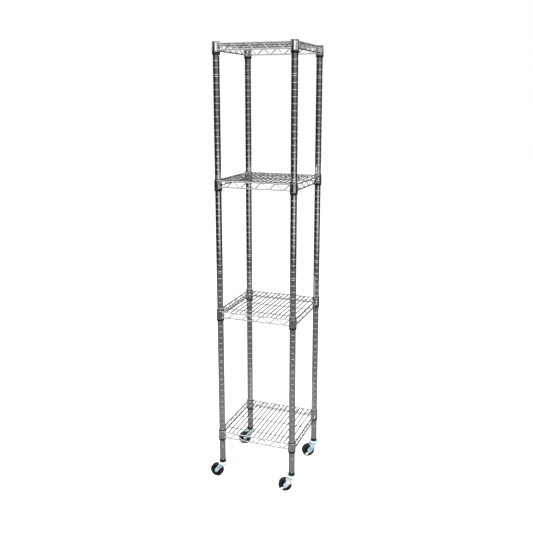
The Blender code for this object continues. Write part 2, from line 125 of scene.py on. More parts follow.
def wire(bm, points, radius, sides=12):
    """A round wire along points, with its ring carried on from point to point without twisting."""
    points = [Vector(p) for p in points]
    rings = []
    tangent = (points[1] - points[0]).normalized()
    side = tangent.orthogonal().normalized()
    for index, point in enumerate(points):
        before = points[max(index - 1, 0)]
        after = points[min(index + 1, len(points) - 1)]
        heading = (after - before).normalized()
        side = (side - heading * side.dot(heading)).normalized()
        other = heading.cross(side)
        ring = []
        for step in range(sides):
            angle = 2 * math.pi * step / sides
            ring.append(bm.verts.new(point + radius * (math.cos(angle) * side + math.sin(angle) * other)))
        rings.append(ring)
    for here, there in zip(rings, rings[1:]):
        for i in range(sides):
            j = (i + 1) % sides
            bm.faces.new((here[i], here[j], there[j], there[i]))
    bm.faces.new(list(reversed(rings[0])))
    bm.faces.new(rings[-1])


def slab(bm, outline, low, high, turn=Matrix.Identity(4), edge=0.0, steps=2):
    """A plate of the XY outline between two heights, with its rims rounded off by edge."""
    made = bmesh.new()
    face = made.faces.new([made.verts.new((x, y, low)) for x, y in outline])
    made.normal_update()
    if face.normal.z > 0:
        bmesh.ops.reverse_faces(made, faces=[face])
    grown = bmesh.ops.extrude_face_region(made, geom=[face])
    top = [item for item in grown["geom"] if isinstance(item, bmesh.types.BMVert)]
    bmesh.ops.translate(made, verts=top, vec=(0, 0, high - low))
    bmesh.ops.recalc_face_normals(made, faces=made.faces)
    if edge:
        rims = [e for e in made.edges if abs(e.verts[0].co.z - e.verts[1].co.z) < 1e-7]
        bmesh.ops.bevel(made, geom=rims, offset=edge, segments=steps, profile=0.5, affect="EDGES")
    made.transform(turn)
    absorb(bm, made)


def absorb(bm, other):
    """Adds the whole of another bmesh, and frees it."""
    mesh = bpy.data.meshes.new("absorbed")
    other.to_mesh(mesh)
    other.free()
    bm.from_mesh(mesh)
    bpy.data.meshes.remove(mesh)


def piece(name, bm, surface, place=Matrix.Identity(4), sharp=40.0):
    """A finished object of the bmesh, shaded smooth except at its sharp edges."""
    bmesh.ops.remove_doubles(bm, verts=bm.verts, dist=1e-6)
    bmesh.ops.dissolve_degenerate(bm, edges=bm.edges, dist=1e-7)
    bmesh.ops.recalc_face_normals(bm, faces=bm.faces)
    mesh = bpy.data.meshes.new(name)
    bm.to_mesh(mesh)
    bm.free()
    mesh.transform(place)
    mesh.materials.append(surface)
    mesh.shade_smooth()
    mesh.set_sharp_from_angle(angle=math.radians(sharp))
    obj = bpy.data.objects.new(name, mesh)
    bpy.context.scene.collection.objects.link(obj)
    flats = obj.modifiers.new("flat_faces", "WEIGHTED_NORMAL")
    flats.mode = "FACE_AREA"
    flats.keep_sharp = True
    return obj


def stand_in(obj, body, node):
    """The piece rides on the body and is shown instead of the CAD node."""
    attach(obj, body)
    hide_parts(node)


def arc(centre, radius, start, end, steps):
    points = []
    for step in range(steps + 1):
        angle = math.radians(start + (end - start) * step / steps)
        points.append((centre[0] + radius * math.cos(angle), centre[1] + radius * math.sin(angle)))
    return points


# ---------------------------------------------------------------- materials


def surface_nodes(name, colour, metallic, roughness):
    """A material with its shader, its node tree and object coordinates in metres."""
    made = bpy.data.materials.new(name)
    made.use_nodes = True
    tree = made.node_tree
    shader = tree.nodes["Principled BSDF"]
    shader.inputs["Base Color"].default_value = (*colour, 1.0)
    shader.inputs["Metallic"].default_value = metallic
    shader.inputs["Roughness"].default_value = roughness
    where = tree.nodes.new("ShaderNodeTexCoord").outputs["Object"]
    return made, tree, shader, where


def noise(tree, where, scale, detail=3.0, stretch=None):
    """Noise of so many cells a metre, stretched along Z when asked."""
    if stretch:
        mapping = tree.nodes.new("ShaderNodeMapping")
        mapping.inputs["Scale"].default_value = stretch
        tree.links.new(where, mapping.inputs["Vector"])
        where = mapping.outputs["Vector"]
    texture = tree.nodes.new("ShaderNodeTexNoise")
    texture.inputs["Scale"].default_value = scale
    texture.inputs["Detail"].default_value = detail
    tree.links.new(where, texture.inputs["Vector"])
    return texture.outputs["Fac"]


def remap(tree, value, low, high, start=0.35, end=0.65):
    ranged = tree.nodes.new("ShaderNodeMapRange")
    ranged.inputs["From Min"].default_value = start
    ranged.inputs["From Max"].default_value = end
    ranged.inputs["To Min"].default_value = low
    ranged.inputs["To Max"].default_value = high
    tree.links.new(value, ranged.inputs["Value"])
    return ranged.outputs["Result"]


def mix_colour(tree, factor, first, second):
    mixed = tree.nodes.new("ShaderNodeMix")
    mixed.data_type = "RGBA"
    mixed.inputs["A"].default_value = (*first, 1.0)
    mixed.inputs["B"].default_value = (*second, 1.0)
    tree.links.new(factor, mixed.inputs["Factor"])
    return mixed.outputs["Result"]


def bump(tree, shader, height, distance, strength=0.4):
    node = tree.nodes.new("ShaderNodeBump")
    node.inputs["Distance"].default_value = distance
    node.inputs["Strength"].default_value = strength
    tree.links.new(height, node.inputs["Height"])
    tree.links.new(node.outputs["Normal"], shader.inputs["Normal"])


def plated(name, bright, dull, smooth, rough, metallic=1.0, grain=1800.0):
    """Plated steel: cloudy handling marks over a fine drawn grain."""
    made, tree, shader, where = surface_nodes(name, bright, metallic, smooth)
    clouds = noise(tree, where, 45.0, 4.0)
    tree.links.new(mix_colour(tree, remap(tree, clouds, 0.0, 1.0), bright, dull), shader.inputs["Base Color"])
    tree.links.new(remap(tree, noise(tree, where, 160.0, 5.0), smooth, rough), shader.inputs["Roughness"])
    bump(tree, shader, noise(tree, where, grain, 2.0, (1.0, 1.0, 0.12)), 0.00002, 0.25)
    return made


def moulded(name, colour, lighter, smooth, rough, grain=2600.0, depth=0.00004):
    """Moulded plastic or rubber: faint mottling, uneven gloss and a fine grain."""
    made, tree, shader, where = surface_nodes(name, colour, 0.0, smooth)
    shader.inputs["Specular IOR Level"].default_value = PLASTIC_SHEEN
    clouds = noise(tree, where, 120.0, 4.0)
    tree.links.new(mix_colour(tree, remap(tree, clouds, 0.0, 1.0), colour, lighter),
        shader.inputs["Base Color"])
    tree.links.new(remap(tree, noise(tree, where, 300.0, 3.0), smooth, rough), shader.inputs["Roughness"])
    bump(tree, shader, noise(tree, where, grain, 2.0), depth, 0.35)
    return made


PLASTIC_SHEEN = 0.3
SURFACES = {
    "chrome": plated("chrome_plate", (0.74, 0.745, 0.755), (0.66, 0.665, 0.68), 0.06, 0.14),
    "zinc": plated("zinc_plate", (0.93, 0.96, 0.96), (0.30, 0.62, 0.62), 0.20, 0.34, 0.45),
    "fork": plated("pressed_steel", (0.96, 0.97, 0.99), (0.36, 0.60, 0.76), 0.14, 0.26, 0.50),
    "cap": moulded("cap_plastic", (0.30, 0.31, 0.32), (0.36, 0.37, 0.38), 0.35, 0.50),
    "sleeve": moulded("sleeve_plastic", (0.005, 0.005, 0.006), (0.012, 0.012, 0.013), 0.30, 0.45),
    "insert": moulded("insert_plastic", (0.004, 0.004, 0.005), (0.010, 0.010, 0.011), 0.35, 0.50),
    "hub": moulded("hub_plastic", (0.006, 0.006, 0.006), (0.014, 0.013, 0.012), 0.40, 0.55),
    "tyre": moulded("tyre_rubber", (0.009, 0.007, 0.005), (0.020, 0.016, 0.012), 0.50, 0.75, 1500.0, 0.00008),
}


# ---------------------------------------------------------------- posts, caps and sleeves


def groove_heights(top):
    """Every groove's height on a post, with the pairs that mark each fifteenth."""
    heights = []
    first = top - FIRST_MARK_BELOW_TOP
    for index in range(-GROOVES_ABOVE_MARK, LAST_GROOVE + 1):
        marks_passed = 0 if index <= 0 else 1 + (index - 1) // GROOVES_PER_MARK
        height = first - index * INCH - marks_passed * MARK_EXTRA
        heights.append(height)
        if index >= 0 and index % GROOVES_PER_MARK == 0:
            heights.append(height - MARK_PAIR)
    return heights


def build_posts():
    for corner in CORNERS:
        node = f"post_{corner}"
        low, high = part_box(node)
        centre = (low + high) / 2
        radius = (high.x - low.x) / 2
        inner = radius - 1.2 * MM
        outer = [(radius - 0.5 * MM, high.z), (radius - 0.15 * MM, high.z - 0.15 * MM),
            (radius, high.z - 0.5 * MM)]
        for height in groove_heights(high.z):
            for step in range(GROOVE_STEPS + 1):
                across = -1.0 + 2.0 * step / GROOVE_STEPS
                dip = GROOVE_DEPTH * math.cos(across * math.pi / 2) ** 1.4 if abs(across) < 1 else 0.0
                outer.append((radius - dip, height - across * GROOVE_HALF_WIDTH))
        foot = low.z
        outer += [
            (radius, foot + 3.2 * MM),
            (radius - 0.5 * MM, foot + 2.6 * MM),
            (radius - 0.5 * MM, foot + 1.8 * MM),
            (radius, foot + 1.2 * MM),
            (radius, foot + 0.5 * MM),
            (radius - 0.4 * MM, foot),
        ]
        bm = bmesh.new()
        lathe(bm, outer + [(inner, foot), (inner, high.z)], POST_SIDES)
        obj = piece(f"grooved_post_{corner}", bm, SURFACES["chrome"],
            Matrix.Translation((centre.x, centre.y, 0)))
        stand_in(obj, "rack", node)


def build_caps():
    for corner in CORNERS:
        node = f"post_cap_{corner}"
        low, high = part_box(node)
        centre = (low + high) / 2
        radius = (high.x - low.x) / 2
        rim = high.z - 1.8 * MM
        skirt = radius - 1.5 * MM
        profile = [(0.0, high.z - 0.35 * MM), (3.0 * MM, high.z - 0.35 * MM), (3.4 * MM, high.z)]
        profile += [(radius - 3.2 * MM, high.z)]
        profile += [(radius - 3.2 * MM + 3.2 * MM * math.sin(a), rim + 1.8 * MM * math.cos(a))
            for a in (0.3, 0.7, 1.1, 1.4)]
        profile += [(radius, rim), (skirt, rim), (skirt, low.z + 1.5 * MM), (skirt - 0.8 * MM, low.z)]
        profile += [(skirt - 1.8 * MM, low.z), (skirt - 1.8 * MM, rim - 0.2 * MM), (0.0, rim - 0.2 * MM)]
        bm = bmesh.new()
        lathe(bm, profile, POST_SIDES)
        obj = piece(f"domed_cap_{corner}", bm, SURFACES["cap"], Matrix.Translation((centre.x, centre.y, 0)))
        stand_in(obj, "rack", node)


def build_sleeves():
    """Each sleeve is two half shells that meet at two slits, with a rim below the collar."""
    for level in LEVELS:
        for corner in CORNERS:
            node = f"sleeve_{level}_{corner}"
            post_low, post_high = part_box(f"post_{corner}")
            low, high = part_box(node)
            centre = (post_low + post_high) / 2
            inner = (post_high.x - post_low.x) / 2 + 0.3 * MM
            outer = inner + 1.3 * MM
            band = outer + 1.4 * MM
            band_top = low.z + 9.0 * MM
            top = high.z + 2.0 * MM
            profile = [
                (inner, low.z),
                (outer - 0.6 * MM, low.z),
                (outer, low.z + 0.5 * MM),
                (band - 0.2 * MM, low.z + 3.2 * MM),
                (band, low.z + 4.2 * MM),
                (band, band_top - 0.4 * MM),
                (band - 0.3 * MM, band_top),
                (outer, band_top),
                (outer, top - 0.7 * MM),
                (outer - 0.5 * MM, top),
                (inner, top),
            ]
            outward = math.degrees(math.atan2(centre.y - CENTRE.y, centre.x - CENTRE.x))
            bm = bmesh.new()
            for half in (0, 1):
                lathe(bm, profile, 32, start=outward + 92.0 + 180.0 * half, sweep=176.0)
            obj = piece(f"split_sleeve_{level}_{corner}", bm, SURFACES["sleeve"],
                Matrix.Translation((centre.x, centre.y, 0)))
            stand_in(obj, "rack", node)


# ---------------------------------------------------------------- shelves


def add_collar(bm, centre, height):
    """A drawn collar with a bright rolled lip, a shallow waist under it and a tucked lower edge."""
    outer = 16.0 * MM
    inner = 14.7 * MM
    profile = [
        (inner, -height + 0.3 * MM),
        (outer - 1.0 * MM, -height),
        (outer - 0.45 * MM, -height + 0.5 * MM),
        (outer - 0.1 * MM, -height + 1.2 * MM),
        (outer, -height + 2.4 * MM),
        (outer - 0.85 * MM, -3.0 * MM),
        (outer - 0.95 * MM, -2.4 * MM),
        (outer - 0.75 * MM, -1.8 * MM),
        (outer - 0.35 * MM, -1.4 * MM),
        (outer - 0.2 * MM, -0.9 * MM),
        (outer - 0.35 * MM, -0.3 * MM),
        (outer - 0.7 * MM, 0.0),
        (inner + 0.3 * MM, -0.1 * MM),
        (inner, -0.5 * MM),
    ]
    lathe(bm, profile, COLLAR_SIDES, Matrix.Translation(centre))


def brace_points(side):
    """The zigzag wire's line along one side: straight legs with bent corners, at the rails' level."""
    run = BRACE_PERIOD / 2
    high = TOP_RAIL_Z - 1.2 * MM
    low = TOP_RAIL_Z - TRUSS_HEIGHT + 1.2 * MM
    bend = 3.2 * MM
    points = []
    for node in range(-BRACE_COUNT, BRACE_COUNT + 1):
        x = node * run
        up = (node + BRACE_COUNT) % 2 == 0
        peak = high if up else low
        toward = -1 if up else 1
        for offset, drop in ((-2.0, 0.98), (-1.1, 0.28), (-0.5, 0.06), (0.0, 0.0), (0.5, 0.06), (1.1, 0.28),
                (2.0, 0.98)):
            points.append((x + offset * bend, peak + toward * drop * bend))
    return [(x, -RAIL_OFFSET + 0.4 * MM, z) if side == 0 else (x, -RAIL_OFFSET, z) for x, z in points]


def shelf_bmesh(height, half):
    """The whole welded shelf, seen from the middle of its collars' tops."""
    bm = bmesh.new()
    reach = half - 12.0 * MM
    for turn in range(4):
        spun = Matrix.Rotation(math.radians(90 * turn), 4, "Z")
        for level in (TOP_RAIL_Z, TOP_RAIL_Z - TRUSS_HEIGHT):
            ends = [spun @ Vector((x, -RAIL_OFFSET, level)) for x in (-reach, -reach / 3, reach / 3, reach)]
            wire(bm, ends, RAIL_RADIUS, 16)
        wire(bm, [spun @ Vector(p) for p in brace_points(turn)], BRACE_RADIUS, 10)
    for index in range(DECK_WIRES):
        x = (index - (DECK_WIRES - 1) / 2) * DECK_PITCH
        end = RAIL_OFFSET - 0.6 * MM
        if abs(x) > half - 16.0 * MM:
            end = half - math.sqrt((15.2 * MM) ** 2 - (half - abs(x)) ** 2)
        drop = TOP_RAIL_Z - DECK_Z
        line = [(x, -end, DECK_Z + drop), (x, -end + 2.0 * MM, DECK_Z + 0.85 * drop)]
        line += [(x, -end + 4.5 * MM, DECK_Z + 0.35 * drop), (x, -end + 7.5 * MM, DECK_Z)]
        line += [(x, 0.0, DECK_Z)]
        line += [(px, -py, pz) for px, py, pz in reversed(line[:4])]
        wire(bm, line, DECK_RADIUS, 12)
    for y in CROSS_OFFSETS:
        z = DECK_Z - DECK_RADIUS - CROSS_RADIUS + 0.3 * MM
        wire(bm, [(-RAIL_OFFSET + 0.5 * MM, y, z), (0.0, y, z), (RAIL_OFFSET - 0.5 * MM, y, z)],
            CROSS_RADIUS, 12)
    for x in (-half, half):
        for y in (-half, half):
            add_collar(bm, (x, y, 0.0), height)
    return bm


def build_shelves():
    half = (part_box("post_front_right")[0].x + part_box("post_front_right")[1].x) / 2 - CENTRE.x
    for level in LEVELS:
        node = f"shelf_{level}"
        low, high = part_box(node)
        middle = (low + high) / 2
        bm = shelf_bmesh(high.z - low.z, half)
        obj = piece(f"wire_shelf_{level}", bm, SURFACES["chrome"],
            Matrix.Translation((middle.x, middle.y, high.z)), 50.0)
        stand_in(obj, "rack", node)


# ---------------------------------------------------------------- casters


def build_insert(corner, place):
    node = f"foot_insert_{corner}"
    low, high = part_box(node)
    radius = (high.x - low.x) / 2
    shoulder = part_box(f"post_{corner}")[0].z - 0.3 * MM
    plug = 11.2 * MM
    rounded = [(10.4 * MM + 3.1 * MM * math.sin(a), low.z + 4.5 * MM * (1 - math.cos(a)))
        for a in (0.25, 0.6, 0.95, 1.3, 1.57)]
    profile = [(0.0, high.z), (plug - 0.8 * MM, high.z), (plug, high.z - 1.5 * MM)]
    for ring in range(4):
        z = high.z - 6.0 * MM - ring * 5.0 * MM
        profile += [(plug, z), (plug - 0.5 * MM, z - 0.8 * MM), (plug, z - 1.6 * MM)]
    profile += [(plug, shoulder), (radius - 0.3 * MM, shoulder), (radius, shoulder - 0.4 * MM)]
    profile += list(reversed(rounded)) + [(10.4 * MM, low.z), (5.1 * MM, low.z),
        (5.1 * MM, high.z - 3.7 * MM), (0.0, high.z - 3.7 * MM)]
    bm = bmesh.new()
    lathe(bm, profile, 40)
    obj = piece(f"foot_cup_{corner}", bm, SURFACES["insert"], place)
    stand_in(obj, "rack", node)


def build_stem(corner, place):
    node = f"caster_stem_{corner}"
    low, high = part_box(node)
    plate = 20.5 * MM
    profile = [
        (0.0, high.z),
        (3.6 * MM, high.z),
        (4.8 * MM, high.z - 1.2 * MM),
        (4.8 * MM, PLATE_TOP),
        (15.2 * MM, PLATE_TOP),
        (17.2 * MM, PLATE_TOP - 0.4 * MM),
        (18.8 * MM, PLATE_TOP - 1.3 * MM),
        (19.9 * MM, PLATE_TOP - 2.6 * MM),
        (plate, PLATE_TOP - 3.9 * MM),
        (plate, PLATE_BOTTOM),
        (plate - 1.2 * MM, PLATE_BOTTOM),
        (18.8 * MM, PLATE_BOTTOM + 1.6 * MM),
        (16.5 * MM, PLATE_BOTTOM + 2.8 * MM),
        (10.0 * MM, PLATE_BOTTOM + 2.8 * MM),
        (9.0 * MM, PLATE_BOTTOM),
        (3.7 * MM, PLATE_BOTTOM),
        (3.7 * MM, CROWN_BOTTOM - 0.3 * MM),
        (6.0 * MM, CROWN_BOTTOM - 0.3 * MM),
        (5.4 * MM, low.z + 0.3 * MM),
        (3.0 * MM, low.z),
        (0.0, low.z),
    ]
    bm = bmesh.new()
    lathe(bm, profile, 48)
    obj = piece(f"race_plate_{corner}", bm, SURFACES["zinc"], place)
    stand_in(obj, "rack", node)


def build_race(corner, place):
    """The lower race: a dished ring with the bearing balls sitting in its groove."""
    node = f"swivel_race_{corner}"
    low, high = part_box(node)
    profile = [
        (4.0 * MM, low.z),
        (4.0 * MM, low.z + 0.9 * MM),
        (11.6 * MM, low.z + 0.9 * MM),
        (12.4 * MM, low.z + 0.5 * MM),
        (13.4 * MM, low.z + 0.4 * MM),
        (14.4 * MM, low.z + 0.5 * MM),
        (15.2 * MM, low.z + 0.9 * MM),
        (18.0 * MM, high.z),
        (18.8 * MM, high.z - 0.5 * MM),
        (18.9 * MM, low.z),
    ]
    bm = bmesh.new()
    lathe(bm, profile, 48)
    balls = 18
    for index in range(balls):
        angle = 2 * math.pi * index / balls
        centre = (13.4 * MM * math.cos(angle), 13.4 * MM * math.sin(angle), low.z + 1.9 * MM)
        bmesh.ops.create_icosphere(bm, subdivisions=2, radius=1.5 * MM, matrix=Matrix.Translation(centre))
    obj = piece(f"ball_race_{corner}", bm, SURFACES["zinc"], place)
    stand_in(obj, f"caster_{corner}", node)


def build_fork(corner, place):
    """A pressed fork: dished crown, and two ribbed legs whose flanges taper to the axle."""
    node = f"caster_fork_{corner}"
    axle = (WHEEL_TRAIL, 28.0 * MM)
    crown_low, crown_high = CROWN_BOTTOM, CROWN_TOP
    bm = bmesh.new()
    crown = [
        (4.0 * MM, crown_low),
        (4.0 * MM, crown_high - 0.2 * MM),
        (12.0 * MM, crown_high - 0.2 * MM),
        (14.0 * MM, crown_high),
        (17.2 * MM, crown_high),
        (18.2 * MM, crown_high - 0.5 * MM),
        (18.5 * MM, crown_low + 0.7 * MM),
        (18.2 * MM, crown_low),
    ]
    lathe(bm, crown, 48)
    outline = [(12.5 * MM, 62.0 * MM), (9.0 * MM, 62.6 * MM), (-7.0 * MM, 62.6 * MM), (-10.0 * MM, 62.0 * MM)]
    outline += [(-8.6 * MM, 59.0 * MM)] + arc(axle, 7.5 * MM, 205.0, 400.0, 14)
    rib = [(7.0 * MM, 58.0 * MM), (-1.5 * MM, 58.0 * MM)] + arc((axle[0] - 3.0 * MM, axle[1] + 10.5 * MM),
        2.2 * MM, 215.0, 395.0, 6)
    for side in (-1, 1):
        inner, outer = side * LEG_INNER, side * (LEG_INNER + LEG_THICKNESS)
        low, high = sorted((-inner, -outer))
        slab(bm, outline, low, high, STAND, 0.45 * MM)
        face = -outer - side * 0.35 * MM
        low, high = sorted((-outer + side * 0.3 * MM, face))
        slab(bm, rib, low, high, STAND, 0.3 * MM)
        quarter_turn = Matrix.Rotation(math.radians(-90 * side), 4, "X")
        boss = Matrix.Translation((axle[0], outer, axle[1])) @ quarter_turn
        lathe(bm, [(3.3 * MM, -0.3 * MM), (5.6 * MM, -0.3 * MM), (5.4 * MM, 0.25 * MM),
            (3.3 * MM, 0.25 * MM)], 32, boss)
    obj = piece(f"pressed_fork_{corner}", bm, SURFACES["fork"], place)
    stand_in(obj, f"caster_{corner}", node)


def build_axle(corner, place):
    """A hex-headed bolt across the fork with a nut and a thread end."""
    node = f"caster_axle_{corner}"
    face = LEG_INNER + LEG_THICKNESS + 0.3 * MM
    end = face + 3.8 * MM
    across = Matrix.Translation((WHEEL_TRAIL, 0, 28.0 * MM)) @ Matrix.Rotation(math.radians(90), 4, "X")
    bm = bmesh.new()
    shank = [(0.0, -end + 0.4 * MM), (2.5 * MM, -end + 0.4 * MM)]
    for turn in range(5):
        z = -end + 0.8 * MM + turn * 0.7 * MM
        shank += [(2.95 * MM, z), (2.6 * MM, z + 0.35 * MM)]
    shank += [(2.95 * MM, -face), (2.95 * MM, face), (0.0, face)]
    lathe(bm, shank, 24, across)
    for low, high in ((face, end), (-face - 3.2 * MM, -face)):
        washer = 0.5 * MM
        lathe(bm, [(0.0, low), (5.5 * MM, low), (5.5 * MM, low + washer), (0.0, low + washer)], 32, across)
        top, bottom = (high, low + washer) if low > 0 else (low, high - washer)
        hexagon = [(4.9 * MM, bottom), (4.9 * MM, top + (bottom - top) * 0.12), (4.3 * MM, top), (0.0, top),
            (0.0, bottom)]
        lathe(bm, hexagon, 6, across)
    obj = piece(f"axle_bolt_{corner}", bm, SURFACES["zinc"], place, 25.0)
    stand_in(obj, f"caster_{corner}", node)


def build_wheel(corner, place):
    """A moulded wheel: a ribbed hub, and a tyre with rounded shoulders and two fine tread lines."""
    across = Matrix.Translation((WHEEL_TRAIL, 0, 28.0 * MM)) @ Matrix.Rotation(math.radians(90), 4, "X")
    bm = bmesh.new()
    half = 7.5 * MM
    web = 2.2 * MM
    boss = 11.0 * MM
    profile = [(3.3 * MM, -boss), (3.3 * MM, boss), (6.2 * MM, boss), (6.9 * MM, boss - 0.7 * MM),
        (7.3 * MM, web + 1.2 * MM)]
    profile += [(8.5 * MM, web), (14.6 * MM, web), (15.4 * MM, web + 1.2 * MM), (15.8 * MM, half - 0.4 * MM),
        (16.2 * MM, half)]
    profile += [(18.0 * MM, half)]
    profile += [(radius, -z) for radius, z in reversed(profile[2:])]
    lathe(bm, profile, 64, across)
    ribs = 8
    for index in range(ribs):
        turn = Matrix.Rotation(2 * math.pi * index / ribs, 4, "Z")
        rib = [(6.8 * MM, -0.8 * MM), (15.7 * MM, -0.8 * MM), (15.7 * MM, 0.8 * MM), (6.8 * MM, 0.8 * MM)]
        slab(bm, rib, -half + 0.9 * MM, half - 0.9 * MM, across @ turn, 0.2 * MM)
    obj = piece(f"ribbed_hub_{corner}", bm, SURFACES["hub"], place)
    stand_in(obj, f"wheel_{corner}", f"wheel_hub_{corner}")

    bm = bmesh.new()
    tread, wide, inner = 28.0 * MM, 10.0 * MM, 18.3 * MM
    side = [(inner, 7.5 * MM), (19.6 * MM, 7.9 * MM), (20.4 * MM, 9.4 * MM), (21.2 * MM, wide)]
    side += [(23.4 * MM, wide), (23.8 * MM, wide - 0.35 * MM), (24.2 * MM, wide)]
    shoulder = [(25.6 * MM + 2.4 * MM * math.sin(a), 7.2 * MM + 2.8 * MM * math.cos(a))
        for a in (0.15, 0.5, 0.85, 1.2, 1.5)]
    groove = [(tread, 4.4 * MM), (tread - 0.35 * MM, 4.1 * MM), (tread, 3.8 * MM)]
    upper = side + shoulder + groove
    profile = upper + [(radius, -z) for radius, z in reversed(upper)]
    lathe(bm, profile, 96, across)
    obj = piece(f"rounded_tyre_{corner}", bm, SURFACES["tyre"], place)
    stand_in(obj, f"wheel_{corner}", f"wheel_tyre_{corner}")


def build_brake(corner, place):
    """The foot brake: a pressed side plate with a turned flange, its shoe and its foot tab."""
    inner = LEG_INNER + LEG_THICKNESS + 0.3 * MM + 3.8 * MM + 0.3 * MM
    thick = 1.6 * MM
    foot, shoe = PEDAL_FOOT, PEDAL_SHOE
    half = thick / 2
    outline = [(12.6 * MM, 51.0 * MM), (9.0 * MM, 48.0 * MM), (1.0 * MM, 48.6 * MM), (-2.0 * MM, 47.4 * MM)]
    outline += [(-2.6 * MM, 45.0 * MM), (-1.2 * MM, 42.8 * MM), (9.0 * MM, 33.6 * MM), (18.0 * MM, 24.0 * MM)]
    outline += [(25.5 * MM, 19.0 * MM), (42.0 * MM, 15.9 * MM), (45.0 * MM, 15.9 * MM),
        (46.3 * MM, 17.2 * MM)]
    outline += [(46.4 * MM, 19.5 * MM), (34.0 * MM, 24.5 * MM), (27.0 * MM, 33.0 * MM),
        (22.5 * MM, 42.0 * MM)]
    outline += [(shoe[0] + 3.0 * MM, shoe[1] + half), (shoe[0] - 3.0 * MM, shoe[1] + half)]
    bm = bmesh.new()
    slab(bm, outline, -inner - thick, -inner, STAND, 0.35 * MM)
    tab = [(foot[0] - 8.6 * MM, foot[1] - half), (foot[0] - 0.4 * MM, foot[1] - half)]
    tab += [(foot[0] - 0.4 * MM, foot[1] + half), (foot[0] - 8.6 * MM, foot[1] + half)]
    slab(bm, tab, -inner - thick - 8.0 * MM, -inner - half, STAND, 0.3 * MM)
    for index in range(4):
        y = inner + thick + (1.2 + 1.9 * index) * MM
        wire(bm, [(foot[0] - 8.4 * MM, y, foot[1] + half), (foot[0] - 1.0 * MM, y, foot[1] + half)],
            0.35 * MM, 8)
    block = [(shoe[0] - 2.2 * MM, shoe[1] - half), (shoe[0] + 2.2 * MM, shoe[1] - half)]
    block += [(shoe[0] + 2.2 * MM, shoe[1] + half), (shoe[0] - 2.2 * MM, shoe[1] + half)]
    slab(bm, block, -inner - half, 8.0 * MM, STAND, 0.3 * MM)
    obj = piece(f"pressed_pedal_{corner}", bm, SURFACES["fork"], place)
    stand_in(obj, f"brake_{corner}", f"brake_pedal_{corner}")

    plate_face = inner - 0.3 * MM
    end = inner + thick + 0.3 * MM
    leg_face = LEG_INNER + LEG_THICKNESS + 0.3 * MM
    profile = [(0.0, end + 1.2 * MM), (2.2 * MM, end + 1.1 * MM), (3.6 * MM, end + 0.6 * MM), (4.2 * MM, end)]
    profile += [(2.5 * MM, end), (2.5 * MM, plate_face), (4.2 * MM, plate_face), (4.2 * MM, leg_face),
        (2.5 * MM, leg_face)]
    profile += [(2.5 * MM, LEG_INNER - 0.3 * MM), (3.4 * MM, LEG_INNER - 0.3 * MM),
        (3.2 * MM, LEG_INNER - 1.1 * MM), (0.0, LEG_INNER - 1.1 * MM)]
    quarter_turn = Matrix.Rotation(math.radians(-90), 4, "X")
    across = Matrix.Translation((PEDAL_PIVOT[0], 0, PEDAL_PIVOT[1])) @ quarter_turn
    bm = bmesh.new()
    lathe(bm, profile, 32, across)
    obj = piece(f"pedal_rivet_{corner}", bm, SURFACES["zinc"], place)
    stand_in(obj, f"caster_{corner}", f"brake_pivot_{corner}")


def build_casters():
    """Each caster's place and heading come from its swivel axis and its wheel's spin axis in the record."""
    joints = {joint["name"]: joint for joint in frame["joints"]}
    for corner in CORNERS:
        swivel = Vector(joints[f"swivel_{corner}"]["pos_m"])
        wheel = Vector(joints[f"wheel_spin_{corner}"]["pos_m"])
        heading = math.atan2(wheel.y - swivel.y, wheel.x - swivel.x)
        fixed = Matrix.Translation((swivel.x, swivel.y, 0.0))
        place = fixed @ Matrix.Rotation(heading, 4, "Z")
        build_insert(corner, fixed)
        build_stem(corner, fixed)
        build_race(corner, place)
        build_fork(corner, place)
        build_axle(corner, place)
        build_wheel(corner, place)
        if corner in BRAKED:
            build_brake(corner, place)


# ---------------------------------------------------------------- stage, light and camera


def build_floor():
    bm = bmesh.new()
    bmesh.ops.create_grid(bm, x_segments=1, y_segments=1, size=14.0)
    made, tree, shader, where = surface_nodes("pale_floor", (0.22, 0.22, 0.22), 0.0, 0.9)
    tree.links.new(remap(tree, noise(tree, where, 3.0), 0.85, 0.95), shader.inputs["Roughness"])
    shader.inputs["Specular IOR Level"].default_value = 0.0
    shader.inputs["Emission Color"].default_value = (1.0, 1.0, 1.0, 1.0)
    shader.inputs["Emission Strength"].default_value = 0.97
    floor = piece("pale_floor", bm, made)
    floor.visible_glossy = False
    floor.visible_diffuse = False


def area_light(name, place, target, size, power):
    data = bpy.data.lights.new(name, "AREA")
    data.shape = "SQUARE"
    data.size = size
    data.energy = power
    lamp = bpy.data.objects.new(name, data)
    bpy.context.scene.collection.objects.link(lamp)
    lamp.location = place
    lamp.rotation_euler = (Vector(target) - Vector(place)).to_track_quat("-Z", "Y").to_euler()
    lamp.visible_glossy = False
    return lamp


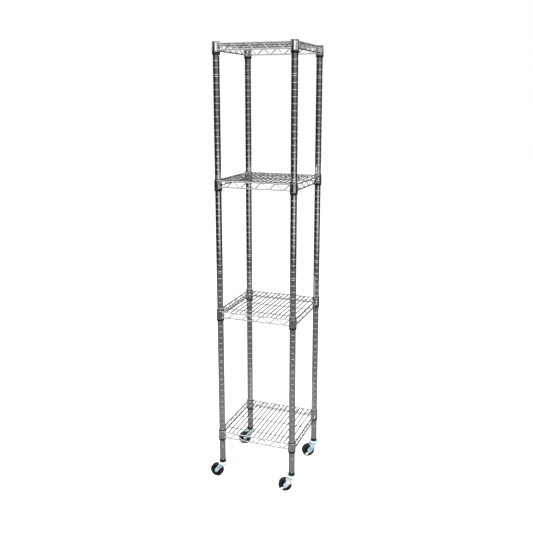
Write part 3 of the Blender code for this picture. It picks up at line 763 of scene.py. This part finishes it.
def world_nodes():
    """A studio of soft panels round the rack, seen only in reflections, with a plain white backdrop."""
    world = bpy.data.worlds.new("studio")
    bpy.context.scene.world = world
    world.use_nodes = True
    tree = world.node_tree
    tree.nodes.clear()
    link = tree.links.new

    def node(kind, **values):
        made = tree.nodes.new(kind)
        for key, value in values.items():
            setattr(made, key, value)
        return made

    def math_node(operation, first, second, clamp=False):
        made = node("ShaderNodeMath", operation=operation, use_clamp=clamp)
        for socket, value in zip(made.inputs, (first, second)):
            if isinstance(value, (int, float)):
                socket.default_value = value
            else:
                link(value, socket)
        return made.outputs[0]

    def ramp(value, start, end, low, high):
        made = node("ShaderNodeMapRange", interpolation_type="SMOOTHSTEP")
        for name, number in (("From Min", start), ("From Max", end), ("To Min", low), ("To Max", high)):
            made.inputs[name].default_value = number
        link(value, made.inputs["Value"])
        return made.outputs["Result"]

    direction = node("ShaderNodeTexCoord").outputs["Generated"]
    split = node("ShaderNodeSeparateXYZ")
    link(direction, split.inputs[0])
    level = node("ShaderNodeCombineXYZ")
    link(split.outputs["X"], level.inputs["X"])
    link(split.outputs["Y"], level.inputs["Y"])
    flat = node("ShaderNodeVectorMath", operation="NORMALIZE")
    link(level.outputs[0], flat.inputs[0])

    def azimuths(offset, inner, outer):
        """1 within the inner half width of an azimuth, 0 past the outer one, in degrees."""
        towards = math.radians(TOWARD_CAMERA + offset)
        dot = node("ShaderNodeVectorMath", operation="DOT_PRODUCT")
        link(flat.outputs[0], dot.inputs[0])
        dot.inputs[1].default_value = (math.cos(towards), math.sin(towards), 0.0)
        gone, full = math.cos(math.radians(outer)), math.cos(math.radians(inner))
        return ramp(dot.outputs["Value"], gone, full, 0.0, 1.0)

    def elevations(low, high, soft):
        """1 between two elevations, with soft edges outside them, in degrees."""
        sine = [math.sin(math.radians(max(-90.0, min(90.0, angle))))
            for angle in (low - soft, low, high, high + soft)]
        rising = ramp(split.outputs["Z"], sine[0], sine[1], 0.0, 1.0) if low > -90.0 else 1.0
        falling = ramp(split.outputs["Z"], sine[2], sine[3], 1.0, 0.0) if high < 90.0 else 1.0
        return math_node("MULTIPLY", rising, falling)

    studio = WORLD_BASE
    for offset, inner, outer, low, high, soft, strength in PANELS:
        window = elevations(low, high, soft)
        if inner < 180.0:
            window = math_node("MULTIPLY", window, azimuths(offset, inner, outer))
        studio = math_node("ADD", studio, math_node("MULTIPLY", window, strength))
    backdrop = node("ShaderNodeBackground")
    backdrop.inputs["Strength"].default_value = 1.0
    reflections = node("ShaderNodeBackground")
    link(studio, reflections.inputs["Strength"])
    chooser = node("ShaderNodeMixShader")
    link(node("ShaderNodeLightPath").outputs["Is Camera Ray"], chooser.inputs[0])
    link(reflections.outputs[0], chooser.inputs[1])
    link(backdrop.outputs[0], chooser.inputs[2])
    backdrop.inputs["Color"].default_value = (1.0, 1.0, 1.0, 1.0)
    reflections.inputs["Color"].default_value = (1.0, 1.0, 1.0, 1.0)
    link(chooser.outputs[0], node("ShaderNodeOutputWorld").inputs["Surface"])


# The photograph's viewpoint: how far the eye stands from the rack's middle to the right and to the front, its height,
# the camera's heading, tilt and roll in degrees, its lens in millimetres and its shift. The shift is kept small enough
# for the whole rack to stay in the other views, which keep it.
EYE_RIGHT, EYE_FRONT, EYE_HEIGHT = 0.9823, 2.6017, 1.6200
HEADING, TILT, ROLL = -20.393, -12.877, 0.052
LENS = 45.93
SHIFT = (-0.0122, -0.027)


def build_camera():
    """The camera stands to the front right at eye height, and looks down a little."""
    data = bpy.data.cameras.new("camera")
    data.sensor_width = 36.0
    data.lens = LENS
    data.shift_x, data.shift_y = SHIFT
    data.clip_end = 100.0
    camera = bpy.data.objects.new("camera", data)
    bpy.context.scene.collection.objects.link(camera)
    camera.location = (CENTRE.x + EYE_RIGHT, CENTRE.y - EYE_FRONT, EYE_HEIGHT)
    yaw, pitch, roll = (math.radians(angle) for angle in (HEADING, TILT, ROLL))
    level = math.cos(pitch)
    forward = Vector((math.sin(yaw) * level, math.cos(yaw) * level, math.sin(pitch)))
    aim = forward.to_track_quat("-Z", "Y") @ Matrix.Rotation(roll, 3, "Z").to_quaternion()
    camera.rotation_euler = aim.to_euler()
    bpy.context.scene.camera = camera


# The studio's soft panels, as the chrome mirrors them. Each has an azimuth from the camera's side, counted towards
# the right, its half widths where it is full and where it has gone, its lowest and highest elevation, how softly
# those end, all in degrees, and its strength.
TOWARD_CAMERA = -68.5
WORLD_BASE = 0.03
PANELS = (
    (-5.0, 16.0, 34.0, 6.2, 16.0, 1.5, 1.40),
    (65.0, 30.0, 55.0, 6.2, 16.0, 1.5, 0.60),
    (-120.0, 16.0, 30.0, 6.2, 16.0, 1.5, 0.80),
    (15.0, 45.0, 85.0, 18.0, 32.0, 4.0, 1.05),
    (10.0, 60.0, 95.0, 34.0, 90.0, 6.0, 2.10),
    (16.0, 8.0, 62.0, -3.0, 4.5, 1.5, 0.22),
    (20.0, 6.0, 42.0, -12.0, -5.0, 2.0, 0.70),
    (0.0, 180.0, 180.0, -42.0, -16.0, 3.0, 0.15),
    (0.0, 95.0, 150.0, -40.0, -26.0, 7.0, 0.11),
    (165.0, 20.0, 35.0, 6.0, 16.0, 2.0, 0.35),
    (180.0, 85.0, 120.0, 55.0, 90.0, 6.0, 1.20),
    (0.0, 180.0, 180.0, -90.0, -58.0, 8.0, 0.90),
)

STAND = Matrix.Rotation(math.radians(90), 4, "X")
RACK_LOW, RACK_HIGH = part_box("shelf_top")
CENTRE = (RACK_LOW + RACK_HIGH) / 2

build_posts()
build_caps()
build_sleeves()
build_shelves()
build_casters()
build_floor()
area_light("overhead", (CENTRE.x + 0.6, CENTRE.y - 0.8, 4.2), (CENTRE.x, CENTRE.y, 0.0), 3.0, 420.0)
area_light("front_fill", (CENTRE.x + 2.2, CENTRE.y - 3.2, 1.8), (CENTRE.x, CENTRE.y, 0.6), 2.0, 60.0)
world_nodes()
build_camera()
bpy.context.scene.view_settings.view_transform = "Standard"
